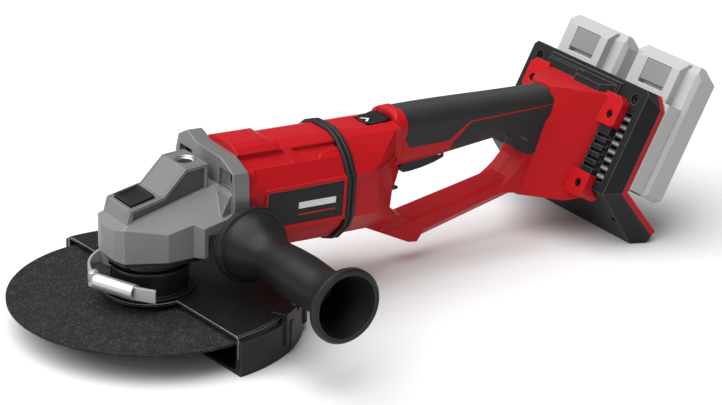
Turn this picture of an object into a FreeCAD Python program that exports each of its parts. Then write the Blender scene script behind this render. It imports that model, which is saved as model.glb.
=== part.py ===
"""Two-battery cordless angle grinder for 230 mm discs, one STEP file per separate piece.

Working frame: the spindle axis is X = Y = 0, the floor is Z = 0, +X runs from the gear head to the
batteries, -Y is the side that carries the side handle and +Z is up.  Every piece is moved by the same
shift when it is written, so that the origin is the middle of the object's box on the floor.
"""
import FreeCAD
import Part
import math
import os

V = FreeCAD.Vector
X, Y, Z = V(1, 0, 0), V(0, 1, 0), V(0, 0, 1)

# ---------------------------------------------------------------- driving dimensions (mm, degrees)
DISC_RADIUS = 115.0
DISC_THICKNESS = 2.0
DISC_MIDDLE = 24.6              # height of the disc's middle plane
GUARD_TURN = 4.2                # rest angle of the guard about the spindle
GUARD_RADIUS = 121.0
GUARD_TOP = 32.5                # upper face of the guard plate
GUARD_SHEET = 2.0
COVER_WALL = 3.0

HEAD_BOTTOM = 66.0              # underside of the gear housing
NECK_RADIUS = 27.0              # bearing flange neck that the guard turns on
MOTOR_TILT = 3.0                # the motor line drops towards the rear
MOTOR_HEIGHT = 98.3             # where the motor line crosses the spindle axis
MOTOR_FRONT = 64.0              # motor housing, along the motor line
MOTOR_REAR = 158.0
MOTOR_BORE = 41.0
RING_SCALE, RING_EDGE = 1.060, 1.035    # swivel ring's size against the motor housing's, and at its rims
RING_THICKNESS = 4.3
SWIVEL_GAP = 0.4

HANDLE_X, HANDLE_Z = 59.2, 75.5     # side handle axis
BOSS_RADIUS = 21.0
BOSS_FACE = 54.5                # distance of the boss face from the middle plane

BAR_HALF_WIDTH = 15.0

PLATE_TILT = 28.0               # lean of the battery frame
PLATE_TOP_X, PLATE_TOP_Z = 448.4, 139.8
PLATE_HALF_WIDTH = 86.5
PLATE_THICKNESS = 14.0

PACK_WIDTH = 84.0
PACK_PITCH = 97.0

CROWN_TEETH = 35
PINION_TEETH = 10

parts = {}


# ---------------------------------------------------------------- shape helpers
def wire(points):
    """Closed wire of straight edges."""
    return Part.makePolygon(list(points) + [points[0]])


def rounded_wire(points, radius):
    """Closed wire with each corner replaced by a tangent arc of the given radius, or less if it must."""
    edges = []
    starts, ends, middles = [], [], []
    count = len(points)
    for i, corner in enumerate(points):
        back = points[i - 1] - corner
        on = points[(i + 1) % count] - corner
        half = back.getAngle(on) / 2
        reach = min(radius / math.tan(half), 0.45 * back.Length, 0.45 * on.Length)
        size = reach * math.tan(half)
        back.normalize()
        on.normalize()
        middle = back + on
        middle.normalize()
        starts.append(corner + back * reach)
        ends.append(corner + on * reach)
        middles.append(corner + middle * (size / math.sin(half) - size))
    for i in range(count):
        edges.append(Part.Arc(starts[i], middles[i], ends[i]).toShape())
        edges.append(Part.LineSegment(ends[i], starts[(i + 1) % count]).toShape())
    return Part.Wire(edges)


def extrude(outline, direction):
    return Part.Face(outline).extrude(direction)


def side_prism(points, y0, y1, radius=0.0):
    """Outline in X and Z, pulled along Y."""
    corners = [V(x, y0, z) for x, z in points]
    outline = rounded_wire(corners, radius) if radius else wire(corners)
    return extrude(outline, V(0, y1 - y0, 0))


def plan_prism(points, z0, z1, radius=0.0):
    """Outline in X and Y, pulled along Z."""
    corners = [V(x, y, z0) for x, y in points]
    outline = rounded_wire(corners, radius) if radius else wire(corners)
    return extrude(outline, V(0, 0, z1 - z0))


def front_prism(points, x0, x1, radius=0.0):
    """Outline in Y and Z, pulled along X."""
    corners = [V(x0, y, z) for y, z in points]
    outline = rounded_wire(corners, radius) if radius else wire(corners)
    return extrude(outline, V(x1 - x0, 0, 0))


def both_sides(half):
    """Whole outline of (distance from the middle, height) points given for one side, top to bottom."""
    return half + [(-y, z) for y, z in reversed(half) if y > 0]


def plan_both(half):
    """Whole plan outline of (x, y) points given for one side, front to rear."""
    return half + [(x, -y) for x, y in reversed(half) if y > 0]


def box(x0, x1, y0, y1, z0, z1):
    return Part.makeBox(x1 - x0, y1 - y0, z1 - z0, V(x0, y0, z0))


def rod(radius, base, length, axis=Z):
    return Part.makeCylinder(radius, length, base, axis)


def ring(outer, inner, base, length, axis=Z):
    """Tube.  The bore runs through both faces."""
    bore = rod(inner, base - axis * 1.0, length + 2.0, axis)
    return rod(outer, base, length, axis).cut(bore)


def turned(profile, axis_base, axis):
    """Solid of revolution.  profile holds (radius, distance along the axis) points."""
    side = Y if abs(axis.dot(Y)) < 0.9 else X
    outline = wire([axis_base + side * r + axis * s for r, s in profile])
    return Part.Face(outline).revolve(axis_base, axis, 360)


def fused(*shapes):
    whole = shapes[0].fuse(list(shapes[1:])) if len(shapes) > 1 else shapes[0]
    return whole.removeSplitter()


def about(shape, angle, base=V(0, 0, 0), axis=Z):
    copy = shape.copy()
    copy.rotate(base, axis, angle)
    return copy


def moved(shape, offset):
    copy = shape.copy()
    copy.translate(offset)
    return copy


def motor_line(shape):
    """Puts a shape made with its motor axis on X at the origin onto the real motor line."""
    return moved(about(shape, MOTOR_TILT, axis=Y), V(0, 0, MOTOR_HEIGHT))


def motor_point(u, w):
    """(x, z) of a point u along the motor line and w above it."""
    tilt = math.radians(MOTOR_TILT)
    return (u * math.cos(tilt) + w * math.sin(tilt),
            MOTOR_HEIGHT - u * math.sin(tilt) + w * math.cos(tilt))


def plate_frame(shape):
    """Puts a shape made upright onto the battery frame: X is rearward of its front face, Z up along it."""
    return moved(about(shape, PLATE_TILT, axis=Y), V(PLATE_TOP_X, 0, PLATE_TOP_Z))


def plate_point(t, s):
    """(x, z) of a point t behind the frame's front face and s above its top edge."""
    tilt = math.radians(PLATE_TILT)
    return (PLATE_TOP_X + t * math.cos(tilt) + s * math.sin(tilt),
            PLATE_TOP_Z - t * math.sin(tilt) + s * math.cos(tilt))


PLATE_BEND = plate_point(0, -97.3)      # where the frame turns down and back


def screw(head_radius, head_height, radius, length, at, axis):
    """Pan head with a hexagon socket.  at is under the head, axis points out of the head."""
    head = rod(head_radius, at, head_height, axis)
    shank = rod(radius, at - axis * length, length, axis)
    socket_at = at + axis * (head_height * 0.45)
    across = head_radius * 0.45
    side = axis.cross(Y) if abs(axis.dot(Y)) < 0.9 else axis.cross(X)
    side.normalize()
    other = axis.cross(side)
    corners = []
    for i in range(6):
        angle = math.radians(60 * i)
        corners.append(socket_at + side * (across * math.cos(angle)) + other * (across * math.sin(angle)))
    return head.fuse(shank).cut(extrude(wire(corners), axis * head_height))


def keep(name, shape):
    parts[name] = shape


# ---------------------------------------------------------------- gear head
HEAD_PLAN = [(-38.5, 0), (-38.0, 11), (-35.0, 21), (-4.0, 36.6), (19.0, 37.8), (24.5, 43.6), (28.5, 43.6),
             (30, 36), (54, 36)]
BRIDGE_PLAN = [(18, 0), (18, 37.0), (25.0, 43.6), (54, 44.8), (54, 0)]
UPPER_SIDE = [(-31, 86), (-31, 98), (-28, 108.8), (2.3, 114.4), (22.4, 134.0), (43, 134.8), (43, 86)]
UPPER_HALF_WIDTH = 18.6
PANEL = [(-25.5, 99.6), (-25.0, 106.6), (3.6, 111.8), (23.6, 131.2), (40.5, 132.0), (40.5, 114.4)]
PANEL_DEPTH = 2.2
FLANGE = [(-22, 43.4), (-32, 39.6), (-41.5, 35.6), (-44.0, 29.0), (-46.5, 9.0), (-46.5, -29.0),
          (-37.0, -44.5), (37.0, -44.5), (46.5, -29.0), (46.5, 9.0), (46.0, 30.0), (43.0, 42.5), (31.0, 49.4),
          (24.0, 47.6), (17.0, 44.4)]
LUG_SCREWS = [(35.0, 29.0), (-35.0, 29.0), (36.5, -35.0), (-36.5, -35.0)]
TOP_SOCKET_X = 32.5
SOCKET_RADIUS = 5.95            # M14 thread, minor size
BUTTON_X, BUTTON_SLOPE = -13.6, 10.5
CAVITY_RADIUS = 31.4
FLANGE_FRONT = 50.0
WELL_X, WELL_Y, WELL_DEPTH = 11.6, 14.4, 9.0


def roof(x0, x1, ridge_half, ridge_z, foot_half, foot_z, rise):
    """Everything below a hipped ridge that climbs by rise per mm along X; heights are given at x0."""
    outline = [(-foot_half, 0), (foot_half, 0), (foot_half, foot_z), (ridge_half, ridge_z),
               (-ridge_half, ridge_z), (-foot_half, foot_z)]
    corners = [V(x0, y, z) for y, z in outline]
    return extrude(wire(corners), V(x1 - x0, 0, (x1 - x0) * rise))


def gear_head():
    lower = plan_prism(plan_both(HEAD_PLAN), HEAD_BOTTOM, 150)
    chin = side_prism([(-60, 0), (-38.6, 0), (-38.6, 91.5), (-30.5, 98.5), (-27, 140), (60, 140), (60, 0)],
                      -60, 60)
    band = roof(-60, 60, 19.0, 90.3, 60.0, 59.4, 0.232)
    bridge = plan_prism(plan_both(BRIDGE_PLAN), 85, 140).common(band)
    upper = side_prism(UPPER_SIDE, -UPPER_HALF_WIDTH, UPPER_HALF_WIDTH)
    head = fused(lower.common(band).common(chin), bridge, upper)
    flange = motor_line(fused(front_prism(FLANGE, FLANGE_FRONT, MOTOR_FRONT), rod(19.4, V(38, 0, 0), 14, X)))
    shoulders = [motor_line(side_prism([(52, 21), (47.5, 17), (42, 4), (42, -12), (52, -33)],
                                       min(s * 24, s * 42), max(s * 24, s * 42))) for s in (1, -1)]
    bosses = [rod(BOSS_RADIUS, V(HANDLE_X, s * 28, HANDLE_Z), BOSS_FACE - 28, Y * s) for s in (1, -1)]
    casting = fused(head, flange, *shoulders, *bosses)

    cuts = [motor_line(rod(2.6, V(48, y, w), 20, X)) for y, w in LUG_SCREWS]
    cuts += [motor_line(rod(5.4, V(40, y, w), 18.5, X)) for y, w in LUG_SCREWS[2:]]
    for s in (1, -1):
        cuts.append(side_prism(PANEL, s * (UPPER_HALF_WIDTH - PANEL_DEPTH), s * (UPPER_HALF_WIDTH + 5)))
        cuts.append(motor_line(box(46, 55.0, min(s * 20, s * 40.2), max(s * 20, s * 40.2), 20.5, 35.5)))
        cuts.append(motor_line(box(46, 58.5, min(s * 29.6, s * 40.4), max(s * 29.6, s * 40.4), 23.6, 34.4)))
        cuts.append(rod(SOCKET_RADIUS, V(HANDLE_X, s * 33, HANDLE_Z), 30, Y * s))
    cuts += [rod(CAVITY_RADIUS, V(0, 0, 60), 33.5),
             rod(9.62, V(0, 0, 93), 10.7),
             motor_line(rod(11, V(10, 0, 0), 35, X)),
             motor_line(rod(16, V(44, 0, 0), 10, X)),
             motor_line(rod(26, V(54, 0, 0), 12, X)),
             rod(SOCKET_RADIUS, V(TOP_SOCKET_X, 0, 117), 30),
             turned([(0, 132.8), (7.2, 132.8), (8.8, 136.5), (0, 136.5)], V(TOP_SOCKET_X, 0, 0), Z),
             deck_frame(box(-WELL_X, WELL_X, -WELL_Y, WELL_Y, -WELL_DEPTH, 12)),
             rod(3.15, V(BUTTON_X, 0, 84), 40)]
    return casting.cut(cuts).removeSplitter()


def deck_frame(shape):
    """Puts a shape made flat about the origin onto the sloped deck at the lock button."""
    return moved(about(shape, -BUTTON_SLOPE, axis=Y), V(BUTTON_X, 0, 111.5))


def head_parts():
    keep("gear_housing", gear_head())
    heads = [motor_line(screw(4.6, 3.2, 2.4, 9.5, V(58.5, y, w), -X)) for y, w in LUG_SCREWS]
    keep("gear_housing_screws", Part.makeCompound(heads))

    plate = plan_prism(plan_both([(-36, 0), (-33, 17), (-2.5, 33.5), (24, 35), (36, 30), (36, 0)]), 61,
                       HEAD_BOTTOM)
    neck = turned([(0, 38), (NECK_RADIUS, 38), (NECK_RADIUS, 57.5), (31, 57.5), (31, 61.5), (0, 61.5)],
                  V(0, 0, 0), Z)
    bores = turned([(0, 37), (24, 37), (24, 50), (20.02, 50), (20.02, 62), (26, 62), (26, 67), (0, 67)],
                   V(0, 0, 0), Z)
    holes = [V(-27, 11.5, 0), V(-27, -11.5, 0), V(27, 25, 0), V(27, -25, 0)]
    pockets = [rod(3.8, at + Z * 57.2, 3.8) for at in holes] + [rod(2.02, at + Z * 55, 12) for at in holes]
    flange = fused(plate, neck).cut([bores] + pockets)
    keep("bearing_flange", flange)
    screws = [screw(3.6, 2.6, 2.0, 4.9, at + Z * 61, -Z) for at in holes]
    keep("bearing_flange_screws", Part.makeCompound(screws))

    lower = ring(20.0, 8.5, V(0, 0, 50.5), 11)
    groove = turned([(11.5, 50), (17, 50), (17, 51.3), (11.5, 51.3)], V(0, 0, 0), Z)
    keep("spindle_bearing_lower", lower.cut(groove))
    keep("spindle_bearing_upper", ring(9.6, 5.03, V(0, 0, 93.6), 10))


# ---------------------------------------------------------------- spindle, gears and disc
CROWN_OUTER, CROWN_INNER = 30.0, 20.5
CROWN_CONE = 18.7               # fall of the crown gear's pitch cone from the apex, degrees
PINION_CONE = CROWN_CONE - MOTOR_TILT
TOOTH_TOP, TOOTH_ROOT = 0.036, 0.066    # tooth height above and below the pitch cone, per mm of cone length
APEX = V(0, 0, MOTOR_HEIGHT)


def cone_loft(section, inner, outer):
    """Solid between two scaled copies of a section; the section's points are unit-length from the apex."""
    wires = [wire([APEX + point * size for point in section]) for size in (inner, outer)]
    return Part.makeLoft(wires, True, True)


def crown_point(angle, fall):
    return V(math.cos(angle), math.sin(angle), -math.tan(math.radians(CROWN_CONE)) - fall)


def crown_gear():
    pitch = math.tan(math.radians(CROWN_CONE))
    top_fall, root_fall = -TOOTH_TOP, TOOTH_ROOT
    outer_root = MOTOR_HEIGHT - CROWN_OUTER * (pitch + root_fall)
    inner_root = MOTOR_HEIGHT - CROWN_INNER * (pitch + root_fall)
    web = turned([(7.9, 78), (CROWN_OUTER, 78), (CROWN_OUTER, outer_root), (CROWN_INNER, inner_root),
                  (CROWN_INNER, 84), (7.9, 84)], V(0, 0, 0), Z)
    teeth = []
    step = 2 * math.pi / CROWN_TEETH
    for i in range(CROWN_TEETH):
        middle = i * step
        section = [crown_point(middle - step * 0.31, root_fall + 0.01),
                   crown_point(middle - step * 0.13, top_fall),
                   crown_point(middle + step * 0.13, top_fall),
                   crown_point(middle + step * 0.31, root_fall + 0.01)]
        teeth.append(cone_loft(section, CROWN_INNER + 0.2, CROWN_OUTER - 0.2))
    lock_holes = [about(rod(3.4, V(BUTTON_X, 0, 79), 8), a) for a in range(0, 360, 90)]
    return web.fuse(teeth).cut(lock_holes)


def pinion():
    """Bevel pinion about the motor line, its outline scaled from the apex."""
    half = math.radians(PINION_CONE)
    pitch_radius = math.tan(half)
    step = 2 * math.pi / PINION_TEETH
    outline = []
    for i in range(PINION_TEETH):
        middle = (i + 0.5) * step
        for share, height in ((-0.34, -TOOTH_ROOT), (-0.13, TOOTH_TOP), (0.13, TOOTH_TOP),
                              (0.34, -TOOTH_ROOT)):
            angle = middle + share * step
            radius = pitch_radius + height
            outline.append(V(1, radius * math.sin(angle), -radius * math.cos(angle)))
    wires = [wire([point * size for point in outline]) for size in (CROWN_INNER + 0.4, CROWN_OUTER + 0.6)]
    return motor_line(Part.makeLoft(wires, True, True).fuse(rod(5.5, V(30.4, 0, 0), 4, X)))


def spindle_parts():
    shaft = turned([(0, 8), (6.2, 8), (7.0, 9), (7.0, 33), (11.5, 33), (11.5, 49.8), (8.45, 49.8), (8.45, 66),
                    (11.0, 66), (11.0, 78), (7.9, 78), (7.9, 85), (5.0, 85), (5.0, 103), (0, 103)],
                   V(0, 0, 0), Z)
    keep("spindle", shaft)
    keep("crown_gear", crown_gear())
    disc_top = DISC_MIDDLE + DISC_THICKNESS / 2
    disc_bottom = DISC_MIDDLE - DISC_THICKNESS / 2
    keep("inner_flange", turned([(7.0, disc_top + 0.6), (16, disc_top + 0.6), (16, disc_top), (21, disc_top),
                                 (21, disc_top + 3.0), (13, disc_top + 7), (7.0, disc_top + 7)],
                                V(0, 0, 0), Z))
    disc = ring(DISC_RADIUS, 11.1, V(0, 0, disc_bottom), DISC_THICKNESS)
    keep("cutting_disc", disc)
    nut = turned([(7.0, 14), (16, 14), (21, 17.5), (21, disc_bottom), (15, disc_bottom),
                  (15, disc_bottom - 0.4), (11.0, disc_bottom - 0.4), (11.0, disc_top), (7.0, disc_top)],
                 V(0, 0, 0), Z)
    pins = [about(rod(2.6, V(15, 0, 12), 7), angle) for angle in (0, 90, 180, 270)]
    keep("clamping_nut", nut.cut(pins))


def coil_spring(radius, wire_radius, base, length, turns):
    """Round-wire compression spring standing on base along Z."""
    helix = Part.makeHelix(length / turns, length, radius)
    start = V(radius, 0, 0)
    tangent = V(0, 2 * math.pi * radius, length / turns)
    circle = Part.Wire([Part.Circle(start, tangent, wire_radius).toShape()])
    coil = Part.Wire(helix.Edges).makePipeShell([circle], True, True)
    return moved(coil, base)


def lock_parts():
    cap = deck_frame(plan_prism([(-10.9, -13.7), (10.9, -13.7), (10.9, 13.7), (-10.9, 13.7)], -0.2, 2.2, 1.2))
    slide = deck_frame(box(-8.5, 8.5, -11, 11, -3.0, -0.2))
    pin = rod(3.0, V(BUTTON_X, 0, 85.6), 24)
    window = deck_frame(plan_prism([(-8.2, -11.0), (8.2, -11.0), (8.2, 11.0), (-8.2, 11.0)], 0.7, 4, 1.0))
    keep("lock_button", cap.cut(window))
    keep("lock_pin", fused(pin, slide).cut(cap))
    keep("lock_spring", coil_spring(3.5, 0.4, V(BUTTON_X, 0, 103.8), 3.6, 3))


# ---------------------------------------------------------------- guard, clamp and clip-on cover
COLLAR_OUTER = 31.5
COLLAR_BORE = NECK_RADIUS + 0.05
COLLAR_TOP = 55.0
LEVER_PIVOT = V(-47.5, 7.0, 0)
COVER_CUT = 44.0                # radius of the opening in the cover's floor round the clamping nut
GAP_HALF = 3.0                  # half the split in the clamp collar


def half_disc(radius, z0, z1, front=0.0):
    """Half a round plate on the +X side of its straight front edge."""
    return rod(radius, V(0, 0, z0), z1 - z0).common(box(front, radius + 1, -radius - 1, radius + 1, z0, z1))


def guard_shell():
    top, sheet = GUARD_TOP, GUARD_SHEET
    skirt_bottom = DISC_MIDDLE - 11
    hub = rod(COLLAR_OUTER + 7, V(0, 0, top - sheet), sheet)
    plate = half_disc(GUARD_RADIUS - 3, top - sheet, top).fuse(hub)
    skirt = turned([(GUARD_RADIUS - 3.2, top), (GUARD_RADIUS - 1.2, top - 0.8), (GUARD_RADIUS, top - 2.8),
                    (GUARD_RADIUS, skirt_bottom), (GUARD_RADIUS - sheet, skirt_bottom),
                    (GUARD_RADIUS - sheet, top - 3.0), (GUARD_RADIUS - 3.2, top - sheet)], V(0, 0, 0), Z)
    skirt = skirt.common(box(0, GUARD_RADIUS + 1, -GUARD_RADIUS - 1, GUARD_RADIUS + 1, 0, 60))
    bore = rod(COLLAR_BORE, V(0, 0, 20), 40)
    return about(plate.fuse(skirt).cut(bore).removeSplitter(), GUARD_TURN)


def guard_collar():
    band = ring(COLLAR_OUTER, COLLAR_BORE, V(0, 0, GUARD_TOP), COLLAR_TOP - GUARD_TOP)
    foot = ring(COLLAR_OUTER + 5, COLLAR_BORE, V(0, 0, GUARD_TOP), 2.5)
    rim = ring(COLLAR_OUTER + 1.5, COLLAR_BORE, V(0, 0, COLLAR_TOP - 2.5), 2.5)
    split = box(-60, -10, 9 - GAP_HALF, 9 + GAP_HALF, GUARD_TOP + 3, 60)
    return band.fuse([foot, rim]).cut(split).removeSplitter()


def clamp_link():
    """Bright link plate from the far side of the collar to the lever's pivot, with two ears."""
    arm = plan_prism([(-12.5, 29.2), (-19.6, 45.3), (-22.4, 44.0), (-17.6, 26.6)], 41, 52.0)
    sector = plan_prism([(0, 0), (-30.0, 64.0), (-70, 40), (-70, 14.0)], 41, 52.0)
    plate = ring(49.4, 47.4, V(0, 0, 41), 11.0).common(sector)
    ears = [rod(4.0, LEVER_PIVOT + Z * z, 2.6) for z in (40.2, 49.4)]
    ear_webs = [plan_prism([(-47.6, 10.9), (-43.6, 10.2), (-44.4, 5.4), (-50.4, 5.4)], z, z + 2.6)
                for z in (40.2, 49.4)]
    whole = arm.fuse([plate] + ears + ear_webs)
    cuts = [rod(1.5, LEVER_PIVOT + Z * 30, 40), rod(4.8, LEVER_PIVOT + Z * 42.8, 6.6)]
    return whole.cut(cuts).removeSplitter()


def clamp_lever():
    """Tubular lever with a flat thumb tab, made along +X from its pivot and then turned into place."""
    tube = ring(6.5, 4.9, V(4.8, -1.8, 45.8), 38.2, X)
    barrel = rod(3.6, Z * 43.2, 5.8)
    arm = plan_prism([(0, -3.6), (9, -5.6), (9, 2.6), (2, 3.0)], 43.2, 49.0)
    tab = plan_prism([(36, -3.6), (46, -3.2), (61, 0.4), (60.4, 2.4), (45, -0.6), (36, -0.6)], 40.2, 51.2)
    ear_room = [rod(4.5, Z * 38, 5.2), rod(4.5, Z * 49.0, 5)]
    lever = tube.cut(ear_room).fuse([barrel, arm, tab])
    lever = lever.cut(rod(1.55, Z * 30, 30)).removeSplitter()
    return moved(about(lever, -66.8), LEVER_PIVOT)


def guard_cover():
    """Clip-on plastic cover for cutting work: outer wall, floor, end ribs and snap hooks."""
    inner = GUARD_RADIUS + 0.4
    outer = inner + COVER_WALL
    half = half_disc(outer, 0, 28.5)
    wall = half.cut(rod(inner, V(0, 0, -1), 32))
    floor = half_disc(outer, 0, 2.6).cut(rod(COVER_CUT, V(0, 0, -1), 6))
    lip = half_disc(outer, 0, 5.0).cut(rod(inner - 4.5, V(0, 0, 2.5), 6)).cut(rod(outer - 9, V(0, 0, -1), 8))
    ends = [plan_prism([(0, s * (inner - 3.4)), (6, s * (inner - 3.4)), (6, s * outer), (0, s * outer)], 0,
                       27)
            for s in (1, -1)]
    skirt_room = rod(inner - 0.2, V(0, 0, GUARD_TOP - 20.5), 30)
    ends = [end.cut(skirt_room).common(rod(outer, Z * -1, 40)) for end in ends]
    hooks = []
    for angle in (-62, -41, 0, 62):
        pad = box(inner - 9, outer + 1.6, -9, 9, GUARD_TOP + 0.4, GUARD_TOP + 3.4)
        leg = box(inner + 0.1, outer + 1.6, -9, 9, 8, GUARD_TOP + 3.4)
        rib = box(outer, outer + 2.6, -2.2, 2.2, 6, 28)
        hooks.append(about(pad.fuse([leg, rib]), angle))
    return about(fused(wall, floor, lip, *ends, *hooks), GUARD_TURN)


def guard_parts():
    keep("guard_shell", guard_shell())
    keep("guard_collar", guard_collar())
    keep("guard_cover", guard_cover())
    keep("clamp_link", clamp_link())
    keep("clamp_pin", fused(rod(1.5, LEVER_PIVOT + Z * 40.2, 11.8), rod(2.6, LEVER_PIVOT + Z * 52.0, 1.2)))
    keep("clamp_lever", clamp_lever())


# ---------------------------------------------------------------- side handle
HANDLE_PROFILE = [(32.0, 0), (32.0, 3.6), (30.4, 5.2), (29.0, 5.4), (28.2, 12), (24.8, 20), (20.4, 27.5),
                  (18.2, 35),
                  (18.0, 44), (19.2, 60), (19.8, 78), (19.2, 95), (18.4, 109), (19.2, 118), (22.4, 126.0),
                  (27.2, 131.0), (29.7, 132.4), (30.5, 134.0), (30.5, 137.4), (28.8, 139.2), (0, 139.2)]
HANDLE_HOLLOW = [(0, 95), (14.5, 97.5), (18.0, 117), (22.4, 130), (25.6, 139.2), (25.6, 141), (0, 141)]


def side_handle_parts():
    base = V(HANDLE_X, -BOSS_FACE - 0.1, HANDLE_Z)
    out = -Y
    body = turned([(0, 0)] + HANDLE_PROFILE, base, out)
    end_hollow = turned(HANDLE_HOLLOW, base, out)
    strip = side_strip(base)
    insert_room = rod(9.0, base, 34, out)
    hollow = turned([(26.5, -1), (26.5, 2.2), (15.5, 2.2), (15.5, -1)], base, out)
    keep("side_handle_grip", body.fuse(strip).cut([insert_room, hollow, end_hollow]).removeSplitter())
    stud = turned([(0, -20), (4.9, -20), (5.85, -19), (5.85, 0), (9.0, 0), (9.0, 34), (0, 34)], base, out)
    keep("side_handle_stud", stud)


def side_strip(base):
    """Raised finger strip on the rear flank of the grip."""
    pad = box(-3, 21.2, -122, -34, -4.2, 4.2)
    bow = turned([(0, 34), (19.3, 36), (21.0, 78), (20.4, 120), (0, 122)], V(0, 0, 0), -Y)
    return moved(about(pad.common(bow), 25, axis=Y), V(HANDLE_X, base.y, HANDLE_Z))


# ---------------------------------------------------------------- motor section
MOTOR_HALF = [(0, 47.5), (12, 47.2), (22, 43.6), (34.5, 33.6), (43.6, 19.5), (44.6, 15.8), (44.6, -14.2),
              (40.6, -24.5), (26, -39.5), (13, -44.0), (0, -44.6)]
LABEL = [(82, 15.6), (155, 16.6), (155, -13.8), (96, -13.8), (82, -2.0)]
LABEL_DEPTH = 1.6
FLAT_SLOPE = 60.0               # degrees from upright
FLATS = [[(60, 0.8), (112, 0.8), (108, 14.0), (60, 14.0)],
         [(123, 0.8), (137, 0.8), (140, 5.0), (151, 8.5), (160, 8.5), (160, 14.0), (115.5, 14.0)]]


def along_motor(points, y0, y1, radius=0.0):
    """Side outline in motor coordinates (u, w), pulled along Y, put onto the motor line."""
    return motor_line(side_prism(points, y0, y1, radius))


def motor_housing():
    core = front_prism(both_sides(MOTOR_HALF), MOTOR_FRONT, MOTOR_REAR)
    crown = front_prism(both_sides([(0, 50.4), (13, 49.8), (19, 47.6), (25, 43.0), (25, 30)]), MOTOR_FRONT,
                        104)
    slope = side_prism([(60, 20), (96, 20), (104, 47.2), (96, 50.8), (60, 50.8)], -40, 40)
    flanks = [side_prism([(80, 18.6), (158, 19.6), (158, -17.4), (98, -17.4), (80, -4)], s * 40, s * 46.2)
              for s in (1, -1)]
    lugs = [rod(5.0, V(MOTOR_FRONT, y * k, w * k), 8, X) for y, w in LUG_SCREWS for k in (0.9, 1)]
    body = core.fuse([crown.common(slope)] + flanks + lugs)
    cuts = [rod(MOTOR_BORE, V(60, 0, 0), 100, X)] + [rod(2.42, V(60, y, w), 10, X) for y, w in LUG_SCREWS]
    for s in (1, -1):
        cuts.append(side_prism(LABEL, s * (46.2 - LABEL_DEPTH), s * 50))
        cuts += [shoulder_flat(s, outline) for outline in FLATS]
    housing = motor_line(body.cut(cuts))
    notches = [rod(BOSS_RADIUS + 0.5, V(HANDLE_X, s * 26, HANDLE_Z), 40, Y * s) for s in (1, -1)]
    return housing.cut(notches).removeSplitter()


def shoulder_flat(side, outline):
    """Shallow flat cut into the shoulder of the motor housing, a little flatter than the shoulder."""
    block = about(side_prism(outline, -0.5, 9), FLAT_SLOPE, axis=X)
    block = moved(block, V(0, 34.5, 33.6))
    return block if side > 0 else block.mirror(V(0, 0, 0), Y)


def motor_parts():
    keep("motor_housing", motor_housing())
    badges = [along_motor(LABEL, s * 44.7, s * 45.6, 0.8) for s in (1, -1)]
    keep("side_badges", Part.makeCompound(badges))
    teeth = [about(box(84, 132, 24, 35, -4.5, 4.5), 60 * i, axis=X) for i in range(6)]
    yoke = ring(MOTOR_BORE, 33.5, V(84, 0, 0), 48, X)
    shoes = [about(box(84, 132, 22, 25, -8.5, 8.5), 60 * i, axis=X) for i in range(6)]
    stator = yoke.fuse(teeth + shoes).cut(rod(22.0, V(80, 0, 0), 60, X)).removeSplitter()
    keep("stator_core", motor_line(stator))
    coils = []
    for i in range(6):
        coil = box(81, 135, 25.6, 31.8, -9.5, 9.5).cut(box(84, 132, 20, 36, -4.6, 4.6))
        coils.append(motor_line(about(coil, 60 * i, axis=X)))
    keep("stator_windings", Part.makeCompound(coils))
    keep("motor_bearings", Part.makeCompound([motor_line(ring(15.9, 5.03, V(45, 0, 0), 9, X)),
                                              motor_line(ring(12.9, 4.03, V(150.5, 0, 0), 8, X))]))
    end_plate = fused(ring(MOTOR_BORE - 0.1, 13, V(149.5, 0, 0), 3.5, X), ring(17, 13, V(149.5, 0, 0), 10, X),
                      ring(30.0, 26.0, V(152, 0, 0), 26, X), ring(33.5, 26.0, V(174.5, 0, 0), 3.5, X),
                      ring(27.0, 16.0, V(152, 0, 0), 1.0, X))
    vents = [about(box(140, 160, 33.0, 38.5, -6, 6), 45 * i, axis=X) for i in range(8)]
    keep("motor_end_plate", motor_line(end_plate.cut(vents)))

    keep("drive_pinion", pinion())
    shaft = fused(rod(4.98, V(30, 0, 0), 110, X), rod(4.0, V(139, 0, 0), 19, X))
    keep("motor_shaft", motor_line(shaft.cut(rod(5.6, V(20, 0, 0), 14.4, X))))
    keep("rotor_core", motor_line(ring(21.5, 4.98, V(85, 0, 0), 46, X)))
    blades = [about(box(137.5, 146, 12, 34, -0.9, 0.9), 360 / 11 * i, axis=X) for i in range(11)]
    hub = fused(ring(14, 4.98, V(136.5, 0, 0), 3.4, X), ring(34.5, 4.98, V(136.5, 0, 0), 1.6, X))
    fan = hub.fuse(blades).cut(rod(4.98, V(130, 0, 0), 20, X)).removeSplitter()
    keep("cooling_fan", motor_line(fan))

    keep("swivel_ring_front", motor_line(grooved_ring(MOTOR_REAR)))
    keep("swivel_ring_rear", motor_line(grooved_ring(MOTOR_REAR + RING_THICKNESS + SWIVEL_GAP)))


def grooved_ring(u):
    """One half of the double swivel ring.  It follows the housing's outline and its rims are bevelled."""
    outlines = []
    for run, scale in ((0, RING_EDGE), (1.1, RING_SCALE), (RING_THICKNESS - 1.1, RING_SCALE),
                       (RING_THICKNESS, RING_EDGE)):
        corners = [V(u + run, y * scale, w * scale) for y, w in both_sides(MOTOR_HALF)]
        outlines.append(wire(corners))
    return Part.makeLoft(outlines, True, True).cut(rod(30.4, V(u - 1, 0, 0), RING_THICKNESS + 2, X))


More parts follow.
